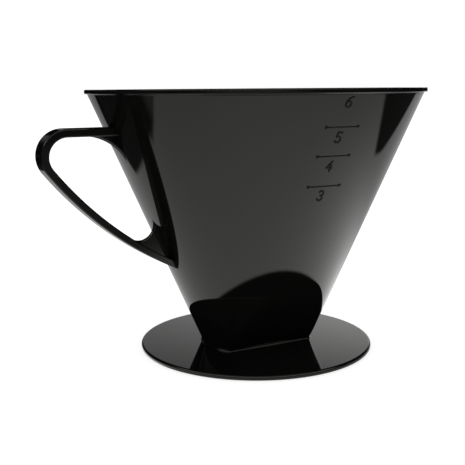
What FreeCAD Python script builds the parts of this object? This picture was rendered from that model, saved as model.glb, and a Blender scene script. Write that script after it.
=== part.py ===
import FreeCAD
import Part
import math
import os

# Hand-poured coffee filter holder in glossy moulded plastic: a funnel for paper cones of size 6,
# with a loop handle, a round foot disc that stands on a jug or cup, and raised cup marks.
# Frame in millimetres: +Z up, origin at the middle of the foot's underside, handle towards -X,
# cup marks towards -Y.

# Funnel
HEIGHT = 109.4
RIM_RADIUS = 70.0
RIM_THICKNESS = 1.7
RIM_ROUND = 0.4
RIM_COVE = 0.5
WALL_SLOPE = 0.433
WALL_THICKNESS = 2.0
FOOT_RADIUS = 23.1
FOOT_HALF_WIDTH = 12.25
FACET_SLOPE = 0.76
FLOOR_TOP = 3.6
PLUG_STEP = 1.2

# Ribs that hold the paper off the inner wall, and the drain holes in the floor
RIB_HEIGHT = 0.9
RIB_WIDTH = 1.4
RIB_TOP = 84.0
RIB_STEP_DEGREES = 15
RIB_GAP = 2.5
FACET_RIB_SPACING = 8.0
FACET_RIBS_EACH_SIDE = 2
DRAIN_RADIUS = 2.0
DRAIN_SPACING = 18.0

# Foot disc
DISC_RADIUS = 49.75
DISC_THICKNESS = 2.0
DISC_ROUND = 0.9

# Handle: a bar bent into a loop in the XZ plane, with thin webs in its two corners. Its outer and its
# inner edge are each a level line, a bend and a wide arc that falls back towards the funnel.
HANDLE_TOP = 95.28
HANDLE_REACH = 92.32
HANDLE_WIDTH = 8.5
HANDLE_BEVEL = 0.5
HANDLE_ROOT = 50.0
ARM_DEPTH = 3.16
BEND_DEPTH = 3.17
OUTER_BEND_RADIUS = 10.34
OUTER_ARC_START = 51.65
OUTER_ARC_RADIUS = 143.0
INNER_BEND_RADIUS = 7.3
INNER_ARC_START = 51.8
INNER_ARC_RADIUS = 141.8
ARC_TURN = 30.0
WEB_THICKNESS = 1.8
UPPER_WEB_RADIUS = 20.0
LOWER_WEB_RADIUS = 6.1
WEB_BITE = 0.05

# Cup marks: height of each line, and of the middle of the number below it. Their column leans a little:
# its middle is given along the wall at one height, and moves sideways with height.
MARK_LINES = (95.9, 85.4, 74.1)
MARK_NUMBERS = {"6": 104.7, "5": 92.2, "4": 81.75, "3": 70.5}
MARK_HEIGHT = 85.0
MARK_MIDDLE = -1.6
MARK_LEAN = 0.045
LINE_LENGTH = 13.4
LINE_WIDTH = 0.5
DOT_RADIUS = 0.7
NUMBER_OFFSET = -0.5
NUMBER_HEIGHT = 4.0
NUMBER_SLANT = 8.0
STROKE = 0.8
RAISE = 0.3
SINK = 0.4

# Strokes of the numbers on a box one high: lines as two ends, arcs as middle, radius and two angles
NUMBER_STROKES = {
    "3": [("arc", (0.26, 0.76), 0.24, -90, 155), ("arc", (0.26, 0.26), 0.26, -155, 90)],
    "4": [("line", (0.42, 1.0), (0.0, 0.3)), ("line", (0.0, 0.3), (0.56, 0.3)),
          ("line", (0.42, 0.62), (0.42, 0.0))],
    "5": [("line", (0.5, 1.0), (0.1, 1.0)), ("line", (0.1, 1.0), (0.06, 0.54)),
          ("arc", (0.25, 0.29), 0.29, -145, 127)],
    "6": [("arc", (0.27, 0.27), 0.27, 0, 360), ("arc", (0.74, 0.27), 0.74, 108, 180)],
}
NUMBER_MIDDLE = (0.28, 0.5)

# Working values
FAR = 200.0
RIM_UNDERSIDE = HEIGHT - RIM_THICKNESS
WALL_ANGLE = math.atan(WALL_SLOPE)
FACET_ANGLE = math.atan(FACET_SLOPE)
WALL_ACROSS = WALL_THICKNESS / math.cos(WALL_ANGLE)
FACET_ACROSS = WALL_THICKNESS / math.cos(FACET_ANGLE)
UP = FreeCAD.Vector(0, 0, 1)


def wall_radius(z):
    """Outer radius of the funnel's round wall at a height."""
    return FOOT_RADIUS + WALL_SLOPE * (z - DISC_THICKNESS)


def facet_distance(z):
    """Distance of the outer flat facet from the XZ plane at a height."""
    return FOOT_HALF_WIDTH + FACET_SLOPE * (z - DISC_THICKNESS)


def funnel(inset, low, high):
    """Solid funnel whose wall and facets are moved inwards by a share of the wall thickness."""
    across = inset * WALL_ACROSS
    facet = inset * FACET_ACROSS
    base = FreeCAD.Vector(0, 0, low)
    cone = Part.makeCone(wall_radius(low) - across, wall_radius(high) - across, high - low, base)
    half_low = facet_distance(low) - facet
    half_high = facet_distance(high) - facet
    corners = [(-half_low, low), (half_low, low), (half_high, high), (-half_high, high)]
    points = [FreeCAD.Vector(-FAR, y, z) for y, z in corners]
    wedge = Part.Face(Part.makePolygon(points + points[:1])).extrude(FreeCAD.Vector(2 * FAR, 0, 0))
    return cone.common(wedge)


def edge_circles(solid, radius, heights):
    """Round edges of a solid with a given radius at given heights."""
    found = []
    for edge in solid.Edges:
        curve = edge.Curve
        if isinstance(curve, Part.Circle) and abs(curve.Radius - radius) < 1e-3:
            if min(abs(curve.Center.z - z) for z in heights) < 1e-3:
                found.append(edge)
    return found


def foot_plug(height):
    """The funnel's foot where it passes through the disc: a round column with two flat sides."""
    column = Part.makeCylinder(FOOT_RADIUS - PLUG_STEP, height)
    half = FOOT_HALF_WIDTH - PLUG_STEP
    slab = Part.makeBox(2 * FAR, 2 * half, height, FreeCAD.Vector(-FAR, -half, 0))
    return column.common(slab)


def crease_above(azimuth):
    """Height where the inner facet meets the inner round wall, in a direction from the axis."""
    across = abs(math.sin(azimuth))
    gap = (wall_radius(0) - WALL_ACROSS) * across - facet_distance(0) + FACET_ACROSS
    return gap / (FACET_SLOPE - WALL_SLOPE * across)


def crease_along(x):
    """Height where the inner facet meets the inner round wall, at a distance along the facet."""
    wall_start = wall_radius(0) - WALL_ACROSS
    facet_start = facet_distance(0) - FACET_ACROSS
    a = FACET_SLOPE ** 2 - WALL_SLOPE ** 2
    b = 2 * (facet_start * FACET_SLOPE - wall_start * WALL_SLOPE)
    c = facet_start ** 2 + x ** 2 - wall_start ** 2
    return (-b + math.sqrt(b * b - 4 * a * c)) / (2 * a)


def wall_rib_plates():
    """Upright plates for the ribs on the round wall, which start at the floor or above a facet."""
    plates = []
    for degrees in range(0, 360, RIB_STEP_DEGREES):
        crease = crease_above(math.radians(degrees))
        low = crease + RIB_GAP if crease > FLOOR_TOP else FLOOR_TOP
        rib = Part.makeBox(FAR, RIB_WIDTH, RIB_TOP - low, FreeCAD.Vector(0, -RIB_WIDTH / 2, low))
        rib.rotate(FreeCAD.Vector(0, 0, 0), UP, degrees)
        plates.append(rib)
    return plates


def facet_rib_plates():
    """Plates for the parallel ribs on the two facets, which stop below the facet's upper edge."""
    plates = []
    for step in range(-FACET_RIBS_EACH_SIDE, FACET_RIBS_EACH_SIDE + 1):
        x = step * FACET_RIB_SPACING
        high = crease_along(x) - RIB_GAP
        corner = FreeCAD.Vector(x - RIB_WIDTH / 2, -FAR / 2, FLOOR_TOP)
        plates.append(Part.makeBox(RIB_WIDTH, FAR, high - FLOOR_TOP, corner))
    return plates


def filter_cone():
    """The funnel: round wall, two facets at its foot, rim flange, floor, ribs and drain holes."""
    wall = funnel(0, DISC_THICKNESS, RIM_UNDERSIDE)
    flange = Part.makeCylinder(RIM_RADIUS, RIM_THICKNESS, FreeCAD.Vector(0, 0, RIM_UNDERSIDE))
    shell = wall.fuse(flange).fuse(foot_plug(DISC_THICKNESS)).removeSplitter()
    shell = shell.makeFillet(RIM_ROUND, edge_circles(shell, RIM_RADIUS, (HEIGHT, RIM_UNDERSIDE)))
    shell = shell.makeFillet(RIM_COVE, edge_circles(shell, wall_radius(RIM_UNDERSIDE), (RIM_UNDERSIDE,)))
    cavity = funnel(1, FLOOR_TOP, HEIGHT)
    rib_share = 1 + RIB_HEIGHT / WALL_THICKNESS
    plates = wall_rib_plates() + facet_rib_plates()
    cavity = cavity.cut(Part.makeCompound(plates)).fuse(funnel(rib_share, FLOOR_TOP, HEIGHT))
    shell = shell.cut(cavity)
    for side in (-1, 1):
        drain = FreeCAD.Vector(side * DRAIN_SPACING / 2, 0, 0)
        shell = shell.cut(Part.makeCylinder(DRAIN_RADIUS, FLOOR_TOP, drain))
    return shell


def base_disc():
    """The round foot disc, with the opening that the funnel's foot is set into."""
    disc = Part.makeCylinder(DISC_RADIUS, DISC_THICKNESS)
    disc = disc.makeFillet(DISC_ROUND, edge_circles(disc, DISC_RADIUS, (0, DISC_THICKNESS)))
    return disc.cut(foot_plug(DISC_THICKNESS))


def side_point(out, z):
    """A point in the handle's plane, at a distance from the axis and a height."""
    return FreeCAD.Vector(-out, 0, z)


def side_normal(degrees):
    """Direction out of the loop, where its lower arm falls by this angle towards the funnel."""
    angle = math.radians(degrees)
    return FreeCAD.Vector(-math.sin(angle), 0, -math.cos(angle))


def arc_edge(first, middle, last):
    """Edge along the arc through three points."""
    return Part.Arc(first, middle, last).toShape()


def plate(edges, thickness):
    """A flat plate in the handle's plane, from its outline, half its thickness to each side."""
    face = Part.Face(Part.Wire(Part.__sortEdges__(edges)))
    solid = face.extrude(FreeCAD.Vector(0, thickness, 0))
    solid.translate(FreeCAD.Vector(0, -thickness / 2, 0))
    return solid


def loop_points(top, reach, bend_radius, arc_start, arc_radius):
    """Points of one edge of the loop: two on its level line, one on its bend, three on its arc."""
    bend = side_point(reach - bend_radius, top - bend_radius)
    arc_centre = bend - side_normal(arc_start) * (arc_radius - bend_radius)
    turns = [arc_start - share * ARC_TURN for share in (0, 0.5, 1)]
    arc = [arc_centre + side_normal(turn) * arc_radius for turn in turns]
    return [side_point(HANDLE_ROOT, top), bend + UP * bend_radius, side_point(reach, bend.z)] + arc


def loop_curves(points):
    """The level line, the bend and the arc through the points of one edge of the loop."""
    level = Part.LineSegment(points[0], points[1]).toShape()
    return [level, arc_edge(*points[1:4]), arc_edge(*points[3:])]


def handle_bar(outer, inner):
    """The bent bar between its two edges, with bevelled corners along its length."""
    ends = [Part.LineSegment(outer[k], inner[k]).toShape() for k in (0, -1)]
    bar = plate(loop_curves(outer) + loop_curves(inner) + ends, HANDLE_WIDTH)
    longest_short_edge = HANDLE_WIDTH + BEND_DEPTH
    return bar.makeChamfer(HANDLE_BEVEL, [e for e in bar.Edges if e.Length > longest_short_edge])


def web(bar_touch, wall_touch, centre, radius, corner_points):
    """Thin web in a corner of the loop, with a hollow round edge from the bar to the wall."""
    halfway = (bar_touch + wall_touch) * 0.5 - centre
    middle = centre + halfway * (radius / halfway.Length)
    outline = [wall_touch] + corner_points + [bar_touch]
    edges = [arc_edge(bar_touch, middle, wall_touch)]
    edges += [Part.LineSegment(a, b).toShape() for a, b in zip(outline, outline[1:])]
    return plate(edges, WEB_THICKNESS)


def handle():
    """The loop handle, cut to sit flush on the funnel's wall."""
    arm_underside = HANDLE_TOP - ARM_DEPTH
    outer = loop_points(HANDLE_TOP, HANDLE_REACH, OUTER_BEND_RADIUS, OUTER_ARC_START, OUTER_ARC_RADIUS)
    inner = loop_points(arm_underside, HANDLE_REACH - BEND_DEPTH, INNER_BEND_RADIUS, INNER_ARC_START,
                        INNER_ARC_RADIUS)
    bar = handle_bar(outer, inner)

    half = ARM_DEPTH / 2
    to_wall = FreeCAD.Vector(math.cos(WALL_ANGLE), 0, math.sin(WALL_ANGLE))
    upper_gap = UPPER_WEB_RADIUS - WEB_BITE
    upper_z = arm_underside - upper_gap
    upper = side_point(wall_radius(upper_z) + upper_gap / math.cos(WALL_ANGLE), upper_z)
    upper_corner = [side_point(HANDLE_ROOT, upper.z), side_point(HANDLE_ROOT, arm_underside + half),
                    upper + UP * (UPPER_WEB_RADIUS + half)]
    upper_web = web(upper + UP * UPPER_WEB_RADIUS, upper + to_wall * UPPER_WEB_RADIUS, upper,
                    UPPER_WEB_RADIUS, upper_corner)

    lower_arc = arc_edge(*inner[3:]).Curve
    lower = lower_web_centre(lower_arc)
    to_bar = lower - lower_arc.Center
    to_bar.normalize()
    bar_touch = lower + to_bar * LOWER_WEB_RADIUS
    lower_corner = [(inner[-1] + outer[-1]) * 0.5, bar_touch + to_bar * half]
    lower_web = web(bar_touch, lower + to_wall * LOWER_WEB_RADIUS, lower, LOWER_WEB_RADIUS, lower_corner)

    loop = bar.fuse(upper_web).fuse(lower_web).removeSplitter()
    return loop.cut(Part.makeCone(FOOT_RADIUS, wall_radius(HEIGHT), HEIGHT - DISC_THICKNESS,
                                  FreeCAD.Vector(0, 0, DISC_THICKNESS)))


def lower_web_centre(lower_arc):
    """Middle of the circle that just bites into both the funnel's wall and the lower arm's inner arc."""
    gap = LOWER_WEB_RADIUS - WEB_BITE
    reach = lower_arc.Radius - gap
    out = -lower_arc.Center.x
    start = wall_radius(0) + gap / math.cos(WALL_ANGLE) - out
    a = 1 + WALL_SLOPE ** 2
    b = 2 * (start * WALL_SLOPE - lower_arc.Center.z)
    c = start ** 2 + lower_arc.Center.z ** 2 - reach ** 2
    z = (-b - math.sqrt(b * b - 4 * a * c)) / (2 * a)
    return side_point(out + start + WALL_SLOPE * z, z)


def wall_placement(azimuth, z):
    """Placement on the funnel's wall: X along the wall, Y up the slope, Z outwards."""
    turn = math.radians(azimuth)
    outwards = FreeCAD.Vector(math.sin(turn), -math.cos(turn), 0)
    along = FreeCAD.Vector(math.cos(turn), math.sin(turn), 0)
    slope = outwards * math.sin(WALL_ANGLE) + UP * math.cos(WALL_ANGLE)
    normal = outwards * math.cos(WALL_ANGLE) - UP * math.sin(WALL_ANGLE)
    place = outwards * wall_radius(z) + UP * z
    return FreeCAD.Placement(FreeCAD.Matrix(
        along.x, slope.x, normal.x, place.x,
        along.y, slope.y, normal.y, place.y,
        along.z, slope.z, normal.z, place.z,
        0, 0, 0, 1))


def pad(radius, x, y, degrees=360.0, start=0.0):
    """Short upright cylinder, or a sector of one, from below the wall's surface to the raised top."""
    solid = Part.makeCylinder(radius, SINK + RAISE, FreeCAD.Vector(0, 0, 0), UP, degrees)
    solid.rotate(FreeCAD.Vector(0, 0, 0), UP, start)
    solid.translate(FreeCAD.Vector(x, y, -SINK))
    return solid


def stroke_line(first, last):
    """Straight stroke with round ends."""
    dx = last[0] - first[0]
    dy = last[1] - first[1]
    length = math.hypot(dx, dy)
    bar = Part.makeBox(length, STROKE, SINK + RAISE, FreeCAD.Vector(0, -STROKE / 2, -SINK))
    bar.rotate(FreeCAD.Vector(0, 0, 0), UP, math.degrees(math.atan2(dy, dx)))
    bar.translate(FreeCAD.Vector(first[0], first[1], 0))
    return bar.multiFuse([pad(STROKE / 2, *first), pad(STROKE / 2, *last)])


def stroke_arc(centre, radius, start, end):
    """Round stroke with round ends."""
    ring = pad(radius + STROKE / 2, *centre, end - start, start).cut(pad(radius - STROKE / 2, *centre))
    tips = []
    for degrees in (start, end):
        turn = math.radians(degrees)
        tips.append(pad(STROKE / 2, centre[0] + radius * math.cos(turn), centre[1] + radius * math.sin(turn)))
    return ring if end - start == 360 else ring.multiFuse(tips)


def number_solid(digit):
    """One number, flat, with its middle at the origin."""
    def spot(point):
        return [(p - m) * NUMBER_HEIGHT for p, m in zip(point, NUMBER_MIDDLE)]

    strokes = []
    for kind, first, *rest in NUMBER_STROKES[digit]:
        if kind == "line":
            strokes.append(stroke_line(spot(first), spot(rest[0])))
        else:
            strokes.append(stroke_arc(spot(first), rest[0] * NUMBER_HEIGHT, rest[1], rest[2]))
    solid = strokes[0].multiFuse(strokes[1:]).removeSplitter()
    solid.rotate(FreeCAD.Vector(0, 0, 0), UP, -NUMBER_SLANT)
    return solid


def mark_azimuth(z, offset):
    """Direction of a place on the front of the wall, offset along the wall from the marks' middle."""
    along = MARK_MIDDLE + MARK_LEAN * (z - MARK_HEIGHT) + offset
    return math.degrees(along / wall_radius(z))


def mark_line(z, start, end):
    """Raised line round the front of the wall at a height, between two directions."""
    half = LINE_WIDTH / 2 * math.cos(WALL_ANGLE)
    lift = FreeCAD.Vector(RAISE * math.cos(WALL_ANGLE), 0, -RAISE * math.sin(WALL_ANGLE))
    low = FreeCAD.Vector(wall_radius(z - half), 0, z - half)
    high = FreeCAD.Vector(wall_radius(z + half), 0, z + half)
    profile = Part.Face(Part.makePolygon([low, high, high + lift, low + lift, low]))
    line = profile.revolve(FreeCAD.Vector(0, 0, 0), UP, end - start)
    line.rotate(FreeCAD.Vector(0, 0, 0), UP, start - 90)
    return line


def cup_marks():
    """The raised lines, end dots and numbers on the front of the wall."""
    wall = Part.makeCone(FOOT_RADIUS, wall_radius(HEIGHT), HEIGHT - DISC_THICKNESS,
                         FreeCAD.Vector(0, 0, DISC_THICKNESS))
    solids = []
    for z in MARK_LINES:
        ends = [mark_azimuth(z, side * LINE_LENGTH / 2) for side in (-1, 1)]
        dots = []
        for azimuth in ends:
            dot = pad(DOT_RADIUS, 0, 0)
            dot.Placement = wall_placement(azimuth, z).multiply(dot.Placement)
            dots.append(dot.cut(wall))
        solids.append(mark_line(z, *ends).multiFuse(dots).removeSplitter())
    for digit, z in MARK_NUMBERS.items():
        number = number_solid(digit)
        place = wall_placement(mark_azimuth(z, NUMBER_OFFSET), z)
        number.Placement = place.multiply(number.Placement)
        solids.append(number.cut(wall))
    return Part.makeCompound([solid for shape in solids for solid in shape.Solids])


PARTS = {
    "filter_cone": filter_cone,
    "handle": handle,
    "base_disc": base_disc,
    "cup_marks": cup_marks,
}

os.makedirs("parts", exist_ok=True)
for name, make in PARTS.items():
    shape = make()
    shape.exportStep("parts/" + name + ".step")
    print(name, "solids", len(shape.Solids), "valid", shape.isValid(), "volume", round(shape.Volume, 1))
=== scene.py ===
"""Looks of a hand-poured coffee filter holder: glossy black funnel, loop handle, foot disc and cup marks."""
import logging
import math
from dataclasses import dataclass
from enum import Enum
from typing import Callable, NamedTuple, Sequence, Union

import bmesh
import bpy
import numpy as np
from mathutils import Matrix, Vector


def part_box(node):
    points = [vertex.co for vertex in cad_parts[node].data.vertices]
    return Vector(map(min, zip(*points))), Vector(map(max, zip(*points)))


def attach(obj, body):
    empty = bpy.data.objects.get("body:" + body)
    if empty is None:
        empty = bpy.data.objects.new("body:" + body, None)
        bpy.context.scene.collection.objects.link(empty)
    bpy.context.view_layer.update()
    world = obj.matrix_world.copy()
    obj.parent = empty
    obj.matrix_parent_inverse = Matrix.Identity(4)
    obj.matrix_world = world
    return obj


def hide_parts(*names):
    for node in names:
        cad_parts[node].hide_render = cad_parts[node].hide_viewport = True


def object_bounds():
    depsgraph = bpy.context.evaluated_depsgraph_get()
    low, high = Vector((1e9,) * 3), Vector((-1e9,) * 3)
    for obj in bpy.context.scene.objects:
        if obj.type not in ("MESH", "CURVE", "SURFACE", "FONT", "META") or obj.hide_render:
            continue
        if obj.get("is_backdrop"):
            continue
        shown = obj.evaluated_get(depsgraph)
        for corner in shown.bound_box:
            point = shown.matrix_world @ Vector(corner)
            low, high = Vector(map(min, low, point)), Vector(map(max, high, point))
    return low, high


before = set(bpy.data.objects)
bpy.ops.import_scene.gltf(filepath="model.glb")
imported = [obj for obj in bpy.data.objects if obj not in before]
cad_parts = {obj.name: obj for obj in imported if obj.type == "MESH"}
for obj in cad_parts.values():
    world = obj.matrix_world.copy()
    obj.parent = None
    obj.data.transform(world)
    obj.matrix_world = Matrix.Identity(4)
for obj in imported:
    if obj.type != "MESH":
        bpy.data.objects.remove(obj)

log = logging.getLogger("filter_holder")

MM = 0.001
TINY = 1e-6
BODY = "root"

# Points closer than the first are merged, and faces thinner than the second are left out, in metres.
MERGE_GAP = 1e-7
SLIVER = 1e-8

# Points along a quarter round, and round the section of a rib or ridge.
ROUND_STEPS = 7
SECTION_STEPS = 16

# Rows of the wall that crowd at its foot, its crease and its top, by their distance from there.
ROWS_AT_FOOT = np.array([0.0, 0.06, 0.16, 0.3, 0.5, 0.8, 1.3, 2.0]) * MM
ROWS_AT_CREASE = np.array([-0.6, -0.35, -0.2, -0.1, 0.0, 0.1, 0.2, 0.35, 0.6]) * MM
ROWS_AT_TOP = np.array([1.2, 0.5, 0.2, 0.06, 0.0]) * MM

# Rows up a rib, and over the disc from its opening to its edge, as shares of the way.
RIB_ROWS = np.concatenate([np.linspace(0, 0.04, 6), np.linspace(0.06, 0.94, 12), np.linspace(0.96, 1, 6)])
DISC_ROWS = np.concatenate([[0.0, 0.003], np.linspace(0.04, 0.96, 12), [0.997, 1.0]])

Pair = tuple[float, float]
Span = tuple[float, float]
RiseAndFall = tuple[float, float, float, float]
Colour = tuple[float, float, float, float]
Distance = Callable[[np.ndarray, np.ndarray], np.ndarray]

WHITE: Colour = (1.0, 1.0, 1.0, 1.0)


# Shader maths


class Shade:
    """An output socket of a node tree that takes part in Python arithmetic."""

    def __init__(self, graph: "Graph", socket: bpy.types.NodeSocket) -> None:
        """Keeps the node tree and one of its output sockets."""
        self.graph = graph
        self.socket = socket

    def __add__(self, other: "Term") -> "Shade":
        """self + other."""
        return self.graph.math("ADD", self, other)

    def __radd__(self, other: "Term") -> "Shade":
        """other + self."""
        return self.graph.math("ADD", other, self)

    def __sub__(self, other: "Term") -> "Shade":
        """self - other."""
        return self.graph.math("SUBTRACT", self, other)

    def __rsub__(self, other: "Term") -> "Shade":
        """other - self."""
        return self.graph.math("SUBTRACT", other, self)

    def __mul__(self, other: "Term") -> "Shade":
        """self * other."""
        return self.graph.math("MULTIPLY", self, other)

    def __rmul__(self, other: "Term") -> "Shade":
        """other * self."""
        return self.graph.math("MULTIPLY", other, self)

    def __pow__(self, other: "Term") -> "Shade":
        """self to the power of other."""
        return self.graph.math("POWER", self, other)

    def between(self, low: float, high: float) -> "Shade":
        """Smooth step from 0 at low to 1 at high."""
        inputs = {"Value": self, "From Min": low, "From Max": high}
        return self.graph.node("ShaderNodeMapRange", {"interpolation_type": "SMOOTHSTEP"}, inputs)

    def within(self, rise_low: float, rise_high: float, fall_low: float, fall_high: float) -> "Shade":
        """Smooth step from 0 up to 1, and further on a smooth step back to 0."""
        return self.between(rise_low, rise_high) * (1.0 - self.between(fall_low, fall_high))


Term = Union[Shade, float]


class Graph:
    """A node tree that is filled by expressions."""

    def __init__(self, tree: bpy.types.NodeTree) -> None:
        """Keeps the node tree of a material or of the world, and empties it."""
        self.tree = tree
        tree.nodes.clear()

    def node(self, kind: str, settings: dict, inputs: dict, output: Union[int, str] = 0) -> Shade:
        """Adds one node.

        Args:
            kind: the node's type.
            settings: attributes that are set before the sockets.
            inputs: values or links of sockets, by name or place.
            output: name or place of the output that is wanted.

        Returns:
            That output.
        """
        made = self.tree.nodes.new(kind)
        for key, value in settings.items():
            setattr(made, key, value)
        for key, value in inputs.items():
            if isinstance(value, Shade):
                self.tree.links.new(value.socket, made.inputs[key])
            else:
                made.inputs[key].default_value = value
        return Shade(self, made.outputs[output])

    def finish(self, shader: Shade, kind: str = "ShaderNodeOutputMaterial") -> None:
        """Ends the tree in its output node."""
        end = self.tree.nodes.new(kind)
        self.tree.links.new(shader.socket, end.inputs["Surface"])

    def math(self, operation: str, first: Term, second: Term) -> Shade:
        """One Math node on two values."""
        return self.node("ShaderNodeMath", {"operation": operation}, {0: first, 1: second})

    def blend(self, share: Term, first: Colour, second: Colour) -> Shade:
        """Mix of two colours by a share."""
        inputs = {"Factor": share, 6: first, 7: second}
        return self.node("ShaderNodeMix", {"data_type": "RGBA"}, inputs, 2)


# Meshes


@dataclass
class Surface:
    """Points and four-cornered faces of a piece, or of a part of one."""

    points: np.ndarray
    faces: np.ndarray

    @staticmethod
    def grid(points: np.ndarray, wrap_rows: bool = False, wrap_columns: bool = False) -> "Surface":
        """Joins a grid of points into faces.

        Args:
            points: array of rows by columns by 3.
            wrap_rows: whether the last row meets the first.
            wrap_columns: whether the last column meets the first.

        Returns:
            The surface through the points.
        """
        rows, columns = points.shape[:2]
        row = np.arange(rows if wrap_rows else rows - 1)
        column = np.arange(columns if wrap_columns else columns - 1)
        i, j = np.meshgrid(row, column, indexing="ij")
        below = (i + 1) % rows
        beside = (j + 1) % columns
        corners = [i * columns + j, i * columns + beside, below * columns + beside, below * columns + j]
        return Surface(points.reshape(-1, 3), np.stack(corners, -1).reshape(-1, 4))

    @staticmethod
    def tube(rings: np.ndarray) -> "Surface":
        """Closed tube through rings of points: its first and last ring shrink to their middles."""
        caps = rings[[0, -1]].mean(axis=1, keepdims=True).repeat(rings.shape[1], axis=1)
        return Surface.grid(np.concatenate([caps[:1], rings, caps[1:]]), wrap_columns=True)

    @staticmethod
    def joined(surfaces: Sequence["Surface"]) -> "Surface":
        """One surface that holds several.

        Args:
            surfaces: the surfaces to put together.

        Returns:
            All their points, and all their faces with the points counted on.
        """
        starts = np.cumsum([0] + [len(s.points) for s in surfaces[:-1]])
        points = np.concatenate([s.points for s in surfaces])
        faces = np.concatenate([s.faces + start for s, start in zip(surfaces, starts)])
        return Surface(points, faces)

    def outward(self) -> "Surface":
        """Turns the faces of a closed surface outwards, judged by the sign of its volume.

        Returns:
            The surface, with its faces turned round if the volume is negative.
        """
        a, b, c, d = (self.points[self.faces[:, k]] for k in range(4))
        volume = np.sum(a * np.cross(b, c)) + np.sum(a * np.cross(c, d))
        return self if volume > 0 else Surface(self.points, self.faces[:, ::-1])

    def piece(self, name: str, finish: "MouldedPlastic", nodes: Sequence[str],
              sharp: float = 40.0) -> bpy.types.Object:
        """Makes the Blender object, merges its poles and seams, dresses it and attaches it to its body.

        Args:
            name: the piece's name.
            finish: what it is made of.
            nodes: CAD nodes that it stands for.
            sharp: edges that turn by more degrees than this stay sharp.

        Returns:
            The new object.
        """
        mesh = bpy.data.meshes.new(name)
        mesh.from_pydata(self.points.tolist(), [], self.faces.tolist())
        weld_seams(mesh)
        mesh.polygons.foreach_set("use_smooth", np.ones(len(mesh.polygons), bool))
        mesh.set_sharp_from_angle(angle=math.radians(sharp))
        mesh.materials.append(finish.material())
        made = bpy.data.objects.new(name, mesh)
        bpy.context.scene.collection.objects.link(made)
        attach(made, BODY)
        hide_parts(*nodes)
        return made


def weld_seams(mesh: bpy.types.Mesh) -> None:
    """Merges points that fall together, which closes poles and seams.

    Args:
        mesh: the mesh to close.
    """
    work = bmesh.new()
    work.from_mesh(mesh)
    bmesh.ops.remove_doubles(work, verts=work.verts, dist=MERGE_GAP)
    bmesh.ops.dissolve_degenerate(work, edges=work.edges, dist=SLIVER)
    work.to_mesh(mesh)
    work.free()


def unit(vectors: np.ndarray) -> np.ndarray:
    """The same directions with a length of one."""
    return vectors / np.linalg.norm(vectors, axis=-1, keepdims=True)


def heading(turn: np.ndarray) -> np.ndarray:
    """Directions in a plane: the cosine and the sine of each angle."""
    return np.stack([np.cos(turn), np.sin(turn)], -1)


def arc(middle: Sequence[float], radius: float, start: float, end: float,
        steps: int = ROUND_STEPS) -> np.ndarray:
    """Points of an arc: its middle plus its radius along directions from start to end, in degrees."""
    return np.asarray(middle) + radius * heading(np.radians(np.linspace(start, end, steps)))


def full_turn(steps: int) -> np.ndarray:
    """Angles once round, without the last."""
    return np.arange(steps) * (2 * math.pi / steps)


def round_axis(radius: np.ndarray, azimuth: np.ndarray, z: np.ndarray) -> np.ndarray:
    """Points round the funnel's axis, from their radius, direction and height."""
    return np.stack([radius * np.cos(azimuth), radius * np.sin(azimuth), z], -1)


def rows_between(first: np.ndarray, last: np.ndarray, count: int) -> np.ndarray:
    """Rows evenly spaced from one row to another, without these two."""
    share = np.linspace(0.0, 1.0, count + 2)[1:-1, None]
    return first * (1 - share) + last * share


def smooth_least(first: np.ndarray, second: np.ndarray, blend: float) -> np.ndarray:
    """The lesser of two values, rounded off by a parabola where they differ by less than blend."""
    near = np.maximum(blend - np.abs(first - second), 0.0) / blend
    return np.minimum(first, second) - near ** 2 * blend / 4


def guarded(line: np.ndarray, gap: float) -> np.ndarray:
    """Adds a point close to both ends of each step longer than four gaps, so that flats shade flat.

    Args:
        line: points in order.
        gap: distance of the added points from the ends of a step.

    Returns:
        The longer line.
    """
    step = np.diff(line, axis=0)
    length = np.linalg.norm(step, axis=1)
    inset = step * (gap / np.maximum(length, TINY))[:, None]
    long = length > 4 * gap
    parts = np.stack([line[:-1], line[:-1] + inset, line[1:] - inset], 1)
    kept = np.stack([np.ones_like(long), long, long], 1)
    return np.concatenate([parts[kept], line[-1:]])


# Finishes


class Wear(Enum):
    """How a surface is touched in use: the turn of its hairlines about X, Y and Z, in radians."""

    HANDLED = (0.3, 0.2, 0.5)
    STANDING = (0.0, 0.0, 0.7)
    POURED = (0.2, 0.9, 0.1)


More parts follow.
